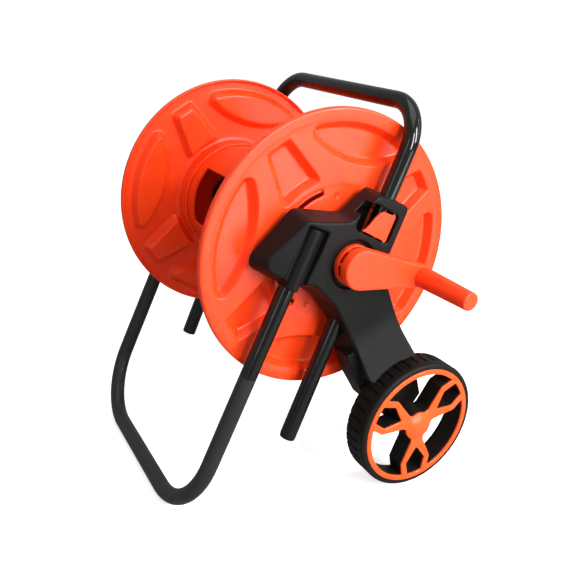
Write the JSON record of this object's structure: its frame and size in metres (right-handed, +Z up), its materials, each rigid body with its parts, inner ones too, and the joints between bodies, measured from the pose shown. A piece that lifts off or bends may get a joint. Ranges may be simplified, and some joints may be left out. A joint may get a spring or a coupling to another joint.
{
  "type": "garden hose reel cart",
  "caption": "Wheeled garden hose reel: drum between dished flanges on a crank, moulded side brackets, bent tube legs and a sliding tube handle.",
  "frame": {"origin": "on the ground under the middle of the whole cart's box", "axes": "+Z up, +X to the rear where the wheels and the handle are, +Y along the reel's axis from the crank to the water inlet"},
  "size_m": [0.4092, 0.5376, 0.5039],
  "materials": {
    "flange_plastic": "satin moulded polypropylene",
    "crank_plastic": "satin moulded polypropylene",
    "latch_plastic": "satin moulded polypropylene",
    "trim_plastic": "glossy moulded plastic",
    "bracket_plastic": "fine-textured moulded polypropylene",
    "wheel_plastic": "satin moulded plastic",
    "black_tube": "gloss black powder coat",
    "grey_tube": "satin dark grey powder coat",
    "plug_plastic": "satin",
    "fitting_plastic": "satin moulded plastic",
    "seal_rubber": "matt",
    "zinc_steel": "zinc plated"
  },
  "bodies": {
    "cart_frame": {"crank_side_bracket": "bracket_plastic", "inlet_side_bracket": "bracket_plastic", "crank_side_leg_tube": "black_tube", "inlet_side_leg_tube": "black_tube", "foot_tube": "grey_tube", "leg_screws": "zinc_steel", "wheel_axle": "zinc_steel", "axle_push_nuts": "zinc_steel", "latch_pins": "zinc_steel", "water_inlet": "fitting_plastic", "inlet_seals": "seal_rubber", "inlet_screws": "zinc_steel"},
    "handle": {"handle_tube": "black_tube", "handle_end_plugs": "plug_plastic"},
    "reel": {"crank_side_flange": "flange_plastic", "inlet_side_flange": "flange_plastic", "drum": "flange_plastic", "crank_spindle": "fitting_plastic", "inlet_spindle": "fitting_plastic", "spindle_screws": "zinc_steel", "crank_arm": "crank_plastic", "crank_screw": "zinc_steel", "grip_pin": "zinc_steel", "hose_elbow": "flange_plastic"},
    "crank_grip": {"crank_grip": "crank_plastic"},
    "crank_side_latch": {"crank_side_latch": "latch_plastic"},
    "inlet_side_latch": {"inlet_side_latch": "latch_plastic"},
    "crank_side_wheel": {"crank_side_wheel": "wheel_plastic", "crank_side_wheel_trim": "trim_plastic"},
    "inlet_side_wheel": {"inlet_side_wheel": "wheel_plastic", "inlet_side_wheel_trim": "trim_plastic"}
  },
  "joints": [
    {"name": "handle_slide", "type": "slide", "parent": "cart_frame", "child": "handle", "axis": [0.421, 0, 0.907], "range_m": [0, 0.2]},
    {"name": "reel_spin", "type": "hinge", "parent": "cart_frame", "child": "reel", "pos_m": [0.02661, 0.03025, 0.3225], "axis": [0, 1, 0], "continuous": true},
    {"name": "grip_spin", "type": "hinge", "parent": "reel", "child": "crank_grip", "pos_m": [0.11534, -0.22725, 0.29672], "axis": [0, 1, 0], "continuous": true},
    {"name": "crank_side_latch_swing", "type": "hinge", "parent": "cart_frame", "child": "crank_side_latch", "pos_m": [0.07913, -0.15795, 0.35655], "axis": [0.421, 0, 0.907], "range_deg": [0, 12]},
    {"name": "inlet_side_latch_swing", "type": "hinge", "parent": "cart_frame", "child": "inlet_side_latch", "pos_m": [0.07913, 0.21845, 0.35655], "axis": [-0.421, 0, -0.907], "range_deg": [0, 12]},
    {"name": "crank_side_wheel_spin", "type": "hinge", "parent": "cart_frame", "child": "crank_side_wheel", "pos_m": [0.11461, -0.18275, 0.09], "axis": [0, 1, 0], "continuous": true},
    {"name": "inlet_side_wheel_spin", "type": "hinge", "parent": "cart_frame", "child": "inlet_side_wheel", "pos_m": [0.11461, 0.24325, 0.09], "axis": [0, 1, 0], "continuous": true}
  ]
}
